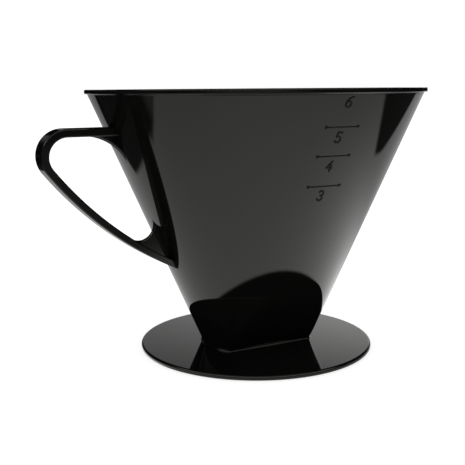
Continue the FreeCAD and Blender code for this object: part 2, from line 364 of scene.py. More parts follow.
@dataclass(frozen=True)
class MouldedPlastic:
    """Glossy black moulding: deep black, clear reflections, faint waves, hairlines and a little dust.

    Scales are in cycles to the metre, and a span says where a pattern starts and where it is full.
    """

    name: str
    wear: Wear
    black: Colour = (0.0024, 0.0024, 0.0023, 1.0)
    dust: Colour = (0.02, 0.02, 0.019, 1.0)
    ior: float = 1.5
    shine: float = 0.5
    shine_tint: Colour = (1.0, 1.0, 0.93, 1.0)
    gloss: float = 0.035
    gloss_spread: float = 0.04
    cloud_scale: float = 14.0
    cloud: Span = (0.42, 0.75)
    wave_size: float = 9.0 * MM
    wave_depth: float = 0.0025 * MM
    grain_scale: float = 900.0
    grain_height: float = 0.012
    line_stretch: tuple[float, float, float] = (60.0, 1400.0, 60.0)
    line_crest: Span = (0.69, 0.73)
    line_patch_scale: float = 45.0
    line_patch: Span = (0.55, 0.7)
    line_dulling: float = 0.05
    line_height: float = 0.03
    speck_scale: float = 260.0
    speck_size: Span = (0.04, 0.09)
    speck_patch_scale: float = 130.0
    speck_patch: Span = (0.7, 0.76)
    speck_dulling: float = 0.3

    def material(self) -> bpy.types.Material:
        """The finish as a material, made once for each name.

        Returns:
            The Blender material.
        """
        if self.name in bpy.data.materials:
            return bpy.data.materials[self.name]
        made = bpy.data.materials.new(self.name)
        made.use_nodes = True
        graph = Graph(made.node_tree)
        place = graph.node("ShaderNodeTexCoord", {}, {}, "Object")
        cloud = self.noise(graph, place, self.cloud_scale, detail=3.0).between(*self.cloud)
        lines = self.hairlines(graph, place)
        specks = self.specks(graph, place)
        rough = self.gloss + self.gloss_spread * cloud
        rough = rough + self.line_dulling * lines + self.speck_dulling * specks
        wave = self.noise(graph, place, 1.0 / self.wave_size, detail=0.0)
        grain = self.noise(graph, place, self.grain_scale, detail=2.0)
        height = wave + self.grain_height * grain + self.line_height * lines
        bump = graph.node("ShaderNodeBump", {}, {
            "Strength": 1.0, "Distance": self.wave_depth, "Height": height})
        shader = graph.node("ShaderNodeBsdfPrincipled", {}, {
            "Base Color": graph.blend(specks, self.black, self.dust), "Roughness": rough, "IOR": self.ior,
            "Normal": bump, "Specular IOR Level": self.shine, "Specular Tint": self.shine_tint})
        graph.finish(shader)
        return made

    @staticmethod
    def noise(graph: Graph, place: Shade, scale: float, detail: float) -> Shade:
        """Cloudy noise on the object's own coordinates."""
        inputs = {"Vector": place, "Scale": scale, "Detail": detail}
        return graph.node("ShaderNodeTexNoise", {}, inputs, "Fac")

    def hairlines(self, graph: Graph, place: Shade) -> Shade:
        """Thin scattered scratches: the narrow crests of stretched noise, broken up by a cloud.

        Args:
            graph: the material's node tree.
            place: the object's own coordinates.

        Returns:
            1 on a scratch and 0 beside it.
        """
        turned = graph.node("ShaderNodeMapping", {}, {
            "Vector": place, "Rotation": self.wear.value, "Scale": self.line_stretch})
        streak = self.noise(graph, turned, 1.0, detail=1.0)
        patch = self.noise(graph, place, self.line_patch_scale, detail=1.0)
        return streak.between(*self.line_crest) * patch.between(*self.line_patch)

    def specks(self, graph: Graph, place: Shade) -> Shade:
        """Sparse dust: the close surroundings of a few cell points.

        Args:
            graph: the material's node tree.
            place: the object's own coordinates.

        Returns:
            1 on a speck and 0 beside it.
        """
        inputs = {"Vector": place, "Scale": self.speck_scale}
        cell = graph.node("ShaderNodeTexVoronoi", {}, inputs, "Distance")
        few = self.noise(graph, place, self.speck_patch_scale, detail=0.0)
        return (1.0 - cell.between(*self.speck_size)) * few.between(*self.speck_patch)


FUNNEL_PLASTIC = MouldedPlastic("funnel_gloss_black", Wear.POURED)
HANDLE_PLASTIC = MouldedPlastic("handle_gloss_black", Wear.HANDLED)
DISC_PLASTIC = MouldedPlastic("disc_gloss_black", Wear.STANDING)
MARK_PLASTIC = MouldedPlastic("mark_dull_black", Wear.POURED, gloss=0.5, gloss_spread=0.15, shine=0.2)


# Pieces


@dataclass
class Funnel:
    """The funnel: a round wall with two flat facets at its foot, a rim flange, ribs and a drained floor."""

    height: float
    rim_radius: float
    foot: float = 2.0 * MM
    rim_thickness: float = 1.7 * MM
    rim_round: float = 0.4 * MM
    rim_under_round: float = 0.35 * MM
    rim_cove: float = 0.5 * MM
    wall_slope: float = 0.433
    wall_thickness: float = 2.0 * MM
    foot_radius: float = 23.1 * MM
    foot_half_width: float = 12.25 * MM
    facet_slope: float = 0.76
    foot_fillet: float = 1.0 * MM
    inner_start: float = 0.4 * MM
    crease_blend: float = 0.08 * MM
    crease_clear: float = 1.2 * MM
    floor_top: float = 3.6 * MM
    plug_step: float = 1.2 * MM
    drain_radius: float = 2.0 * MM
    drain_spacing: float = 18.0 * MM
    drain_bevel: float = 0.35 * MM
    rib_height: float = 0.9 * MM
    rib_width: float = 1.4 * MM
    rib_fullness: float = 0.7
    rib_taper: int = 24
    rib_top: float = 84.0 * MM
    rib_sink: float = 0.5 * MM
    rib_step: float = 15.0
    rib_gap: float = 2.5 * MM
    facet_rib_spacing: float = 8.0 * MM
    facet_ribs_each_side: int = 2
    guard_gap: float = 0.05 * MM
    columns: int = 480
    facet_rows: int = 10
    upper_rows: int = 24
    drain_steps: int = 5
    floor_rings: int = 8
    floor_columns: tuple[int, ...] = (16, 24, 32, 24, 16)

    @property
    def wall_angle(self) -> float:
        """Lean of the round wall from upright."""
        return math.atan(self.wall_slope)

    @property
    def wall_across(self) -> float:
        """Level thickness of the round wall."""
        return self.wall_thickness / math.cos(self.wall_angle)

    @property
    def facet_across(self) -> float:
        """Level thickness of a facet."""
        return self.wall_thickness / math.cos(math.atan(self.facet_slope))

    @property
    def plug_radius(self) -> float:
        """Radius of the part of the foot that is set into the disc."""
        return self.foot_radius - self.plug_step

    @property
    def plug_half_width(self) -> float:
        """Half the width of that part between its flat sides."""
        return self.foot_half_width - self.plug_step

    @property
    def rib_foot(self) -> float:
        """Height where ribs that reach the floor start, a little inside it."""
        return self.floor_top - self.rib_sink

    def wall_radius(self, z: np.ndarray, inside: bool = False) -> np.ndarray:
        """Radius of the round wall at a height."""
        return self.foot_radius + self.wall_slope * (z - self.foot) - self.wall_across * inside

    def facet_distance(self, z: np.ndarray, inside: bool = False) -> np.ndarray:
        """Distance of a facet, at a height, from the plane through the axis and the handle."""
        return self.foot_half_width + self.facet_slope * (z - self.foot) - self.facet_across * inside

    def crease_height(self, across: np.ndarray, inside: bool) -> np.ndarray:
        """Height where facet and round wall meet, in a direction whose sine from the X axis is given."""
        gap = self.wall_radius(0.0, inside) * across - self.facet_distance(0.0, inside)
        return gap / (self.facet_slope - self.wall_slope * across)

    def radius(self, across: np.ndarray, z: np.ndarray, inside: bool) -> np.ndarray:
        """Radius of the wall: the lesser of the round wall's and the facet's in a direction of that sine."""
        facet = self.facet_distance(z, inside) / np.maximum(across, TINY)
        return smooth_least(self.wall_radius(z, inside), facet, self.crease_blend)

    def wall_rows(self, across: np.ndarray, low: float, high: float, inside: bool) -> np.ndarray:
        """Heights of the wall's rows, which crowd at the foot, along the crease and at the top.

        Args:
            across: sine of each column's direction.
            low: height of the first row.
            high: height of the last row.
            inside: whether this is the inner wall.

        Returns:
            Heights as rows by columns.
        """
        crease = np.maximum(self.crease_height(across, inside), low + ROWS_AT_FOOT[-1] + self.crease_clear)
        level = np.zeros_like(crease)
        return np.concatenate([
            (low + ROWS_AT_FOOT)[:, None] + level,
            rows_between(low + ROWS_AT_FOOT[-1], crease + ROWS_AT_CREASE[0], self.facet_rows),
            crease + ROWS_AT_CREASE[:, None],
            rows_between(crease + ROWS_AT_CREASE[-1], high - ROWS_AT_TOP[0], self.upper_rows),
            (high - ROWS_AT_TOP)[:, None] + level])

    def rim_section(self) -> np.ndarray:
        """Section of the rim flange: a cove below it, two rounds at its edge and one at its mouth.

        Returns:
            Radii and heights, from the top of the outer wall to the top of the inner wall.
        """
        cove, under, lip = self.rim_cove, self.rim_under_round, self.rim_round
        underside = self.height - self.rim_thickness
        neck = self.wall_radius(underside - cove)
        mouth = self.wall_radius(self.height, True)
        section = [arc((neck + cove, underside - cove), cove, 180, 90)[1:],
                   arc((self.rim_radius - under, underside + under), under, -90, 0),
                   arc((self.rim_radius - lip, self.height - lip), lip, 0, 90),
                   arc((mouth + lip, self.height - lip), lip, 90, 180)]
        return guarded(np.concatenate(section), self.guard_gap)

    def shell(self) -> Surface:
        """Outer wall, rim and inner wall as one closed skin: a loop of radii and heights round the axis.

        Returns:
            The skin.
        """
        azimuth = full_turn(self.columns)
        across = np.abs(np.sin(azimuth))
        neck = self.height - self.rim_thickness - self.rim_cove
        outer_z = self.wall_rows(across, self.foot, neck, False)
        lift = np.clip(self.foot_fillet - (outer_z - self.foot), 0.0, None)
        flare = self.foot_fillet - np.sqrt(self.foot_fillet ** 2 - lift ** 2)
        outer_r = self.radius(across, outer_z, False) + flare
        rim_r, rim_z = self.rim_section().T[:, :, None] + np.zeros_like(azimuth)
        mouth = self.height - self.rim_round
        inner_z = self.wall_rows(across, self.foot + self.inner_start, mouth, True)[::-1]
        inner_r = self.radius(across, inner_z, True)
        r = np.concatenate([outer_r, rim_r, inner_r])
        z = np.concatenate([outer_z, rim_z, inner_z])
        return Surface.grid(round_axis(r, azimuth, z), wrap_rows=True, wrap_columns=True).outward()

    def plug_reach(self, direction: np.ndarray) -> np.ndarray:
        """Distance from a drain's middle to the edge of its half of the floor.

        The half floor is bounded by the plane between the two drains, two flat sides and a round end.

        Args:
            direction: angles at the drain's middle.

        Returns:
            The least of the distances to these four.
        """
        middle = self.drain_spacing / 2
        along, across = np.cos(direction), np.sin(direction)
        to_plane = np.where(along < -TINY, -middle / np.minimum(along, -TINY), np.inf)
        to_side = self.plug_half_width / np.maximum(np.abs(across), TINY)
        to_round = -middle * along + np.sqrt((middle * along) ** 2 + self.plug_radius ** 2 - middle ** 2)
        return np.minimum(np.minimum(to_plane, to_side), to_round)

    def floor(self) -> Surface:
        """The floor with its two drains: for each drain, rings from its edge out to the half floor's edge.

        Returns:
            Both halves, open where they meet.
        """
        middle = self.drain_spacing / 2
        corner = math.atan2(self.plug_half_width, -middle)
        flat_end = math.sqrt(self.plug_radius ** 2 - self.plug_half_width ** 2)
        round_start = math.atan2(self.plug_half_width, flat_end - middle)
        stops = [-math.pi, -corner, -round_start, round_start, corner, math.pi]
        spans = zip(stops, stops[1:], self.floor_columns)
        direction = np.concatenate([np.linspace(a, b, n, endpoint=False) for a, b, n in spans])
        hole = self.drain_radius + self.drain_bevel
        bevel = arc((hole, self.floor_top - self.drain_bevel), self.drain_bevel, 180, 90, self.drain_steps)
        share = np.linspace(0.0, 1.0, self.floor_rings + 1)[1:, None]
        flat_r = hole + share * (self.plug_reach(direction) - hole)
        top_r = np.concatenate([bevel[:, :1] + np.zeros_like(direction), flat_r])
        top_z = np.concatenate([bevel[:, 1], np.full(self.floor_rings, self.floor_top)])
        r = np.concatenate([top_r[::-1], top_r])
        z = np.concatenate([self.floor_top - top_z[::-1], top_z])[:, None] + np.zeros_like(direction)
        skin = Surface.grid(round_axis(r, direction, z) + (middle, 0.0, 0.0), wrap_columns=True)
        n = len(direction)
        first = np.nonzero(np.abs(direction + math.pi / n) < corner - TINY)[0]
        second = (first + 1) % n
        top = (len(r) - 1) * n
        side = np.stack([top + first, top + second, second, first], -1)
        right = Surface(skin.points, np.concatenate([skin.faces, side]))
        left = Surface(right.points * (-1, -1, 1), right.faces)
        return Surface.joined([right.outward(), left.outward()])

    def rib(self, foot: np.ndarray, head: np.ndarray, along: np.ndarray, normal: np.ndarray) -> Surface:
        """A rib: a low half-round section carried up the wall, dying into it at both ends.

        Args:
            foot: lower end on the inner wall.
            head: upper end on the inner wall.
            along: level direction along the wall.
            normal: direction out of the wall, into the funnel.

        Returns:
            The closed rib.
        """
        share = RIB_ROWS[:, None, None]
        ease = np.sqrt(np.clip(1 - (2 * share - 1) ** self.rib_taper, 0.0, 1.0))
        turn = full_turn(SECTION_STEPS)[:, None]
        bulge = np.sign(np.sin(turn)) * np.abs(np.sin(turn)) ** self.rib_fullness
        section = np.cos(turn) * along * self.rib_width / 2 + bulge * normal * self.rib_height
        return Surface.tube(foot + share * (head - foot) + ease * section).outward()

    def ribs(self) -> Surface:
        """Radial ribs on the round wall and parallel ribs on the facets.

        Returns:
            All ribs.
        """
        made = []
        lean = self.wall_angle
        for a in np.radians(np.arange(0.0, 360.0, self.rib_step)):
            out = np.array([math.cos(a), math.sin(a), 0.0])
            along = np.array([-math.sin(a), math.cos(a), 0.0])
            normal = np.array([0, 0, math.sin(lean)]) - out * math.cos(lean)
            crease = self.crease_height(abs(math.sin(a)), True)
            low = crease + self.rib_gap if crease > self.floor_top else self.rib_foot
            ends = [out * self.wall_radius(z, True) + (0, 0, z) for z in (low, self.rib_top)]
            made.append(self.rib(*ends, along, normal))
        return Surface.joined(made + self.facet_ribs())

    def facet_ribs(self) -> list[Surface]:
        """Parallel ribs on both facets, which stop below the facet's upper edge.

        That edge is where the squares of the facet's distance and of the rib's place add up to the square of
        the round wall's radius: an equation of the second degree in the height, with factors a, b and c.

        Returns:
            The ribs.
        """
        made = []
        lean = math.atan(self.facet_slope)
        wall = self.wall_radius(0.0, True)
        facet = self.facet_distance(0.0, True)
        a = self.facet_slope ** 2 - self.wall_slope ** 2
        b = 2 * (facet * self.facet_slope - wall * self.wall_slope)
        for step in range(-self.facet_ribs_each_side, self.facet_ribs_each_side + 1):
            x = step * self.facet_rib_spacing
            c = facet ** 2 + x ** 2 - wall ** 2
            high = (-b + math.sqrt(b * b - 4 * a * c)) / (2 * a) - self.rib_gap
            for side in (-1, 1):
                heights = (self.rib_foot, high)
                ends = [np.array([x, side * self.facet_distance(z, True), z]) for z in heights]
                normal = np.array([0, -side * math.cos(lean), math.sin(lean)])
                made.append(self.rib(*ends, np.array([1.0, 0, 0]), normal))
        return made

    def build(self) -> list[bpy.types.Object]:
        """Makes and dresses the shell, the floor and the ribs."""
        return [self.shell().piece("funnel_wall", FUNNEL_PLASTIC, ["filter_cone"], sharp=50.0),
                self.floor().piece("funnel_floor", FUNNEL_PLASTIC, ["filter_cone"]),
                self.ribs().piece("paper_ribs", FUNNEL_PLASTIC, ["filter_cone"], sharp=60.0)]


@dataclass
class FootDisc:
    """The round disc that the funnel's foot is set into."""

    funnel: Funnel
    radius: float
    thickness: float
    edge_round: float = 0.9 * MM
    seam_round: float = 0.25 * MM
    side_guard: float = 1.1
    columns: int = 360

    def opening(self, azimuth: np.ndarray) -> np.ndarray:
        """Distance from the axis to the opening's edge: a circle with two flat sides."""
        to_side = self.funnel.plug_half_width / np.maximum(np.abs(np.sin(azimuth)), TINY)
        return np.minimum(self.funnel.plug_radius, to_side)

    def skin(self) -> Surface:
        """The disc's section carried round the axis, stretched between the opening and the edge.

        Returns:
            The closed skin.
        """
        azimuth = full_turn(self.columns)
        level = np.zeros_like(azimuth)
        top = self.thickness
        inner = self.opening(azimuth) + self.seam_round
        outer = self.radius - self.edge_round
        seam = arc((0.0, top - self.seam_round), self.seam_round, 180, 90)
        edge = arc((outer, top - self.edge_round), self.edge_round, 90, 0)
        flat = inner + DISC_ROWS[:, None] * (outer - inner)
        r = np.concatenate([inner + seam[:, :1], flat, edge[:, :1] + level, [self.radius + level]])
        z = np.concatenate([seam[:, 1], np.full(len(flat), top), edge[:, 1],
                            [top - self.side_guard * self.edge_round]])
        r = np.concatenate([r, r[::-1]])
        z = np.concatenate([z, top - z[::-1]])[:, None] + level
        return Surface.grid(round_axis(r, azimuth, z), wrap_rows=True, wrap_columns=True).outward()

    def build(self) -> list[bpy.types.Object]:
        """Makes and dresses the disc."""
        return [self.skin().piece("foot_disc", DISC_PLASTIC, ["base_disc"])]


@dataclass(frozen=True)
class LoopEdge:
    """One edge of the handle's loop: a level line, a bend and a wide arc that falls back to the funnel."""

    top: float
    reach: float
    bend_radius: float
    arc_start: float
    arc_radius: float
    longest_fall: float = 32.0
    level_steps: int = 24
    bend_steps: int = 64
    arc_steps: int = 72
    search_steps: int = 600

    @property
    def bend(self) -> np.ndarray:
        """Middle of the bend, as distance from the axis and height."""
        return np.array([self.reach - self.bend_radius, self.top - self.bend_radius])

    @staticmethod
    def fall(degrees: np.ndarray) -> np.ndarray:
        """Direction out of the loop where the arc falls by this angle."""
        return heading(np.radians(degrees - 90.0))

    @property
    def arc_middle(self) -> np.ndarray:
        """Middle of the wide arc."""
        return self.bend - self.fall(self.arc_start) * (self.arc_radius - self.bend_radius)

    def line(self, funnel: Funnel, root: float) -> np.ndarray:
        """Points along the edge: level line, then bend, then arc, from inside the wall to inside the wall.

        Args:
            funnel: the funnel that the handle stands on.
            root: how far both ends reach into its wall.

        Returns:
            Distances from the axis and heights.
        """
        start = [funnel.wall_radius(self.top) - root, self.top]
        level = np.linspace(start, [self.bend[0], self.top], self.level_steps)
        bend = arc(self.bend, self.bend_radius, 90.0, self.arc_start - 90.0, self.bend_steps)
        falls = self.arc_start - np.linspace(0.0, self.longest_fall, self.search_steps)
        trial = self.arc_middle + self.arc_radius * self.fall(falls)
        clear = trial[:, 0] - funnel.wall_radius(trial[:, 1]) + root
        last = np.interp(0.0, clear[::-1], falls[::-1])
        falls = np.linspace(self.arc_start, last, self.arc_steps)[1:]
        return np.concatenate([level, bend[1:], self.arc_middle + self.arc_radius * self.fall(falls)])


@dataclass
class Handle:
    """The loop handle: a bar bent in the plane of the axis, with a web in each of its two corners.

    An edge's shape is its bend's radius, the fall in degrees where its arc starts, and the arc's radius. A
    guard is a row beside a round that keeps the flat next to it flat, as a share of the round. A web's
    overrun, bite and least depth are shares of its edge's turn, of the arm's depth and of its own half
    thickness.
    """

    funnel: Funnel
    reach: float
    top: float
    width: float
    edge_round: float = 0.5 * MM
    flat_guard: float = 0.1
    arm_depth: float = 3.16 * MM
    bend_depth: float = 3.17 * MM
    outer_shape: tuple[float, float, float] = (10.34 * MM, 51.65, 143.0 * MM)
    inner_shape: tuple[float, float, float] = (7.3 * MM, 51.8, 141.8 * MM)
    root_depth: float = 1.0 * MM
    web_thickness: float = 1.8 * MM
    upper_web_radius: float = 20.0 * MM
    lower_web_radius: float = 6.1 * MM
    web_bite: float = 0.4
    web_overrun: float = 0.04
    web_least: float = 1.3
    lip_guard: float = 1.1
    web_steps: int = 64
    lip_steps: int = 9
    search_span: Span = (0.3, 0.8)
    search_steps: int = 4000

    @property
    def outer(self) -> LoopEdge:
        """The loop's outer edge."""
        return LoopEdge(self.top, self.reach, *self.outer_shape)

    @property
    def inner(self) -> LoopEdge:
        """The loop's inner edge."""
        return LoopEdge(self.top - self.arm_depth, self.reach - self.bend_depth, *self.inner_shape)

    def bar(self) -> Surface:
        """A rounded rectangle carried along the loop, as deep as the gap between its two edges.

        Returns:
            The closed bar.
        """
        outer, inner = (edge.line(self.funnel, self.root_depth) for edge in (self.outer, self.inner))
        middle = (outer + inner) / 2
        half_depth = np.linalg.norm(outer - inner, axis=1)[:, None] / 2
        guard = self.flat_guard
        corner = np.concatenate([[[1.0, -guard]], arc((0.0, 0.0), 1.0, 0, 90), [[-guard, 1.0]]])
        quarters = np.array([(1, 1), (-1, 1), (-1, -1), (1, -1)])
        rounds = np.concatenate([corner[::a * b] * (a, b) for a, b in quarters]) * self.edge_round
        signs = np.repeat(quarters, len(corner), 0)
        depth = signs[:, 0] * (half_depth - self.edge_round) + rounds[:, 0]
        level = signs[:, 1] * (self.width / 2 - self.edge_round) + rounds[:, 1]
        flat = middle[:, None, :] + depth[..., None] * unit(outer - inner)[:, None, :]
        return self.standing(flat, level)

    @staticmethod
    def standing(flat: np.ndarray, level: np.ndarray) -> Surface:
        """Closed tube through sections, given by places in the handle's plane and distances from it."""
        points = np.stack([-flat[..., 0], np.broadcast_to(level, flat.shape[:2]), flat[..., 1]], -1)
        return Surface.tube(points).outward()

    def wall_reach(self, middle: np.ndarray, way: np.ndarray) -> np.ndarray:
        """Distance to a line just inside the funnel's wall: the level gap over the rate at which it closes.

        Args:
            middle: the point to start from.
            way: directions.

        Returns:
            A distance for each direction.
        """
        gap = middle[0] - self.funnel.wall_radius(middle[1]) + self.root_depth
        closing = self.funnel.wall_slope * way[:, 1] - way[:, 0]
        return np.where(closing > TINY, gap / np.maximum(closing, TINY), np.inf)

    def arm_reach(self, middle: np.ndarray, way: np.ndarray) -> np.ndarray:
        """Distance from a point, along directions, to half the depth of the level arm."""
        rise = self.top - self.arm_depth / 2 - middle[1]
        return np.where(way[:, 1] > TINY, rise / np.maximum(way[:, 1], TINY), np.inf)

    def arc_reach(self, middle: np.ndarray, way: np.ndarray) -> np.ndarray:
        """Distance to an arc inside the lower arm: where a ray from the point leaves the arc's circle.

        Args:
            middle: the point to start from.
            way: directions.

        Returns:
            A distance for each direction.
        """
        offset = middle - self.inner.arc_middle
        along = way @ offset
        radius = self.inner.arc_radius + self.web_bite * self.arm_depth
        return np.sqrt(along ** 2 - offset @ offset + radius ** 2) - along

    def web(self, middle: np.ndarray, radius: float, start: np.ndarray, bar_reach: Distance) -> Surface:
        """A thin web: a flat section with a round lip, carried along a hollow edge, that fills a corner.

        Args:
            middle: middle of the hollow edge's circle.
            radius: its radius.
            start: direction from the middle to where the edge meets the bar; it ends square to the wall.
            bar_reach: distance from the middle to the inside of the bar, along directions.

        Returns:
            The closed web.
        """
        lean = self.funnel.wall_angle
        angles = np.arctan2([start[1], math.sin(lean)], [start[0], -math.cos(lean)])
        sweep = (angles[1] - angles[0] + math.pi) % (2 * math.pi) - math.pi
        share = np.linspace(-self.web_overrun, 1 + self.web_overrun, self.web_steps)
        way = heading(angles[0] + share * sweep)
        reach = np.minimum(bar_reach(middle, way), self.wall_reach(middle, way))
        half = self.web_thickness / 2
        lip = np.linspace(-math.pi / 2, math.pi / 2, self.lip_steps)
        beside = radius + self.lip_guard * half
        front = np.concatenate([[beside], radius + half * (1 - np.cos(lip)), [beside]])
        back = np.maximum(reach, radius + self.web_least * half)
        far = np.concatenate([np.tile(front, (len(way), 1)), np.repeat(back[:, None], 2, 1)], 1)
        flat = middle + far[..., None] * way[:, None, :]
        return self.standing(flat, half * np.concatenate([[-1], np.sin(lip), [1, 1, -1]]))

    def lower_web_middle(self) -> np.ndarray:
        """Middle of the circle that touches the wall and the lower arm's inner edge.

        Returns:
            Of many places at the circle's radius from the wall, the one that is as far from the arm.
        """
        z = np.linspace(*self.search_span, self.search_steps) * self.top
        out = self.funnel.wall_radius(z) + self.lower_web_radius / math.cos(self.funnel.wall_angle)
        line = np.stack([out, z], -1)
        gap = self.inner.arc_radius - np.linalg.norm(line - self.inner.arc_middle, axis=1)
        return line[np.argmin(np.abs(gap - self.lower_web_radius))]

    def webs(self) -> list[Surface]:
        """The upper web under the level arm and the lower web above the lower arm.

        Returns:
            Both webs.
        """
        z = self.top - self.arm_depth - self.upper_web_radius
        beside = self.upper_web_radius / math.cos(self.funnel.wall_angle)
        upper = np.array([self.funnel.wall_radius(z) + beside, z])
        lower = self.lower_web_middle()
        to_arm = unit(lower - self.inner.arc_middle)
        return [self.web(upper, self.upper_web_radius, np.array([0.0, 1.0]), self.arm_reach),
                self.web(lower, self.lower_web_radius, to_arm, self.arc_reach)]

    def build(self) -> list[bpy.types.Object]:
        """Makes and dresses the bar with its two webs as one piece."""
        skin = Surface.joined([self.bar()] + self.webs())
        return [skin.piece("loop_handle", HANDLE_PLASTIC, ["handle"])]


@dataclass
class CupMarks:
    """Raised lines with end dots and plain numbers on the front of the funnel's wall."""

    funnel: Funnel
    lines: tuple[float, ...] = (95.9 * MM, 85.4 * MM, 74.1 * MM)
    numbers: tuple[tuple[str, float], ...] = (
        ("6", 104.7 * MM), ("5", 92.2 * MM), ("4", 81.75 * MM), ("3", 70.5 * MM))
    middle_height: float = 85.0 * MM
    middle: float = -1.6 * MM
    lean: float = 0.045
    line_length: float = 13.4 * MM
    line_width: float = 0.5 * MM
    dot_radius: float = 0.7 * MM
    dot_stub: float = 0.02 * MM
    number_offset: float = -0.5 * MM
    number_height: float = 4.0 * MM
    number_slant: float = 8.0
    number_middle: Pair = (0.28, 0.5)
    stroke: float = 0.8 * MM
    raise_by: float = 0.3 * MM
    cap_steps: int = 6
    line_steps: int = 40
    dot_steps: int = 3
    arc_steps: int = 36
    bar_steps: int = 12

    def column(self, z: float) -> float:
        """Place of the marks' middle along the wall at a height: their column leans a little."""
        return self.middle + self.lean * (z - self.middle_height)

    def on_wall(self, along: np.ndarray, up: np.ndarray, z: float) -> np.ndarray:
        """Wraps flat places onto the wall.

        Args:
            along: distances round the wall from its front.
            up: distances up its slope.
            z: the height that both are counted from.

        Returns:
            Points on the wall.
        """
        height = z + up * math.cos(self.funnel.wall_angle)
        radius = self.funnel.wall_radius(height)
        turn = along / self.funnel.wall_radius(z)
        return np.stack([radius * np.sin(turn), -radius * np.cos(turn), height], -1)

    def ridge(self, path: np.ndarray, half: float) -> Surface:
        """An oval section carried along a path on the wall, with its middle on the wall and round ends.

        Args:
            path: points on the wall, in order.
            half: half the ridge's width.

        Returns:
            The closed ridge.
        """
        lean = self.funnel.wall_angle
        step = unit(np.gradient(path, axis=0))
        normal = unit(path * (1, 1, 0)) * math.cos(lean) - np.array([0, 0, math.sin(lean)])
        side = np.cross(normal, step)
        cosine, sine = arc((0.0, 0.0), 1.0, 0, 90, self.cap_steps).T
        before = path[0] - step[0] * half * cosine[:-1, None]
        after = path[-1] + step[-1] * half * sine[1:, None]
        line = np.concatenate([before, path, after])[:, None, :]
        size = np.concatenate([sine[:-1], np.ones(len(path)), cosine[1:]])[:, None, None]
        ends = ((len(before), len(after)), (0, 0))
        side, normal = (np.pad(way, ends, "edge")[:, None, :] for way in (side, normal))
        turn = full_turn(SECTION_STEPS)[:, None]
        section = np.cos(turn) * half * side + np.sin(turn) * self.raise_by * normal
        return Surface.tube(line + size * section).outward()

    def mark_line(self, z: float) -> list[Surface]:
        """One level line with a dot at each end.

        Args:
            z: its height.

        Returns:
            The line and the dots, each of which is a very short ridge.
        """
        along = self.column(z) + np.linspace(-0.5, 0.5, self.line_steps) * self.line_length
        made = [self.ridge(self.on_wall(along, 0.0 * along, z), self.line_width / 2)]
        for end in (along[0], along[-1]):
            short = end + np.linspace(-self.dot_stub, self.dot_stub, self.dot_steps)
            made.append(self.ridge(self.on_wall(short, 0.0 * short, z), self.dot_radius))
        return made

    def bend(self, x: float, y: float, radius: float, start: float, end: float) -> np.ndarray:
        """Points along a round stroke on a box one high."""
        return arc((x, y), radius, start, end, self.arc_steps)

    def bar(self, first: Pair, last: Pair) -> np.ndarray:
        """Points along a straight stroke on a box one high."""
        return np.linspace(first, last, self.bar_steps)

    def strokes(self) -> dict[str, list[np.ndarray]]:
        """Strokes of each number on a box one high."""
        return {
            "3": [self.bend(0.26, 0.76, 0.24, 155, -90), self.bend(0.26, 0.26, 0.26, 90, -155)],
            "4": [self.bar((0.42, 1.0), (0.0, 0.3)), self.bar((0.0, 0.3), (0.56, 0.3)),
                  self.bar((0.42, 0.62), (0.42, 0.0))],
            "5": [self.bar((0.5, 1.0), (0.1, 1.0)), self.bar((0.1, 1.0), (0.06, 0.54)),
                  self.bend(0.25, 0.29, 0.29, 127, -145)],
            "6": [self.bend(0.27, 0.27, 0.27, 0, 360), self.bend(0.74, 0.27, 0.74, 108, 180)],
        }

    def number(self, digit: str, z: float) -> list[Surface]:
        """One number, slanted a little, wrapped onto the wall.

        Args:
            digit: the number.
            z: height of its middle.

        Returns:
            A ridge for each stroke.
        """
        slant = math.radians(self.number_slant)
        made = []
        for flat in self.strokes()[digit]:
            x, y = ((flat - self.number_middle) * self.number_height).T
            along = x * math.cos(slant) + y * math.sin(slant) + self.column(z) + self.number_offset
            up = y * math.cos(slant) - x * math.sin(slant)
            made.append(self.ridge(self.on_wall(along, up, z), self.stroke / 2))
        return made

    def build(self) -> list[bpy.types.Object]:
        """Makes and dresses all marks as one piece.

        Returns:
            The piece, in a list.
        """
        made = [s for z in self.lines for s in self.mark_line(z)]
        made += [s for digit, z in self.numbers for s in self.number(digit, z)]
        return [Surface.joined(made).piece("cup_marks_raised", MARK_PLASTIC, ["cup_marks"], sharp=60.0)]


# Studio


class Place(NamedTuple):
    """Parts of a place or direction: across the picture, away from the camera and up."""

    across: Shade
    away: Shade
    up: Shade

    def square_from(self, across: float, away: float) -> Shade:
        """Square of the level distance from a fixed place."""
        return (self.across - across) ** 2.0 + (self.away - away) ** 2.0

    def beyond(self, across: float, away: float, bearing: float) -> Shade:
        """Level distance past a fixed place along a bearing, in degrees from straight away."""
        y, x = heading(math.radians(bearing)).tolist()
        return (self.across - across) * x + (self.away - away) * y


@dataclass(frozen=True)
class Pool:
    """A round pool of light on the table, brightest in its middle."""

    across: float
    away: float
    spread: float
    light: float

    def on(self, place: Place) -> Shade:
        """Its light at a place: a bell curve of the distance from its middle."""
        power = -0.5 / self.spread ** 2 * place.square_from(self.across, self.away)
        return self.light * power.graph.math("EXPONENT", power, 0.0)


@dataclass(frozen=True)
class Edge:
    """A straight edge of a dark card, through a place; its bearing points into the card."""

    across: float
    away: float
    bearing: float
    soft: float

    def inside(self, place: Place) -> Shade:
        """Soft step from 0 outside the edge to 1 inside it."""
        return place.beyond(self.across, self.away, self.bearing).between(-self.soft, self.soft)


@dataclass(frozen=True)
class Card:
    """A dark card or painted shade on the table: the place inside all its edges loses a share of its light.
    """

    edges: tuple[Edge, ...]
    share: float = 0.96

    def kept(self, place: Place) -> Shade:
        """Share of the light that it leaves at a place."""
        return 1.0 - math.prod([edge.inside(place) for edge in self.edges], start=self.share)


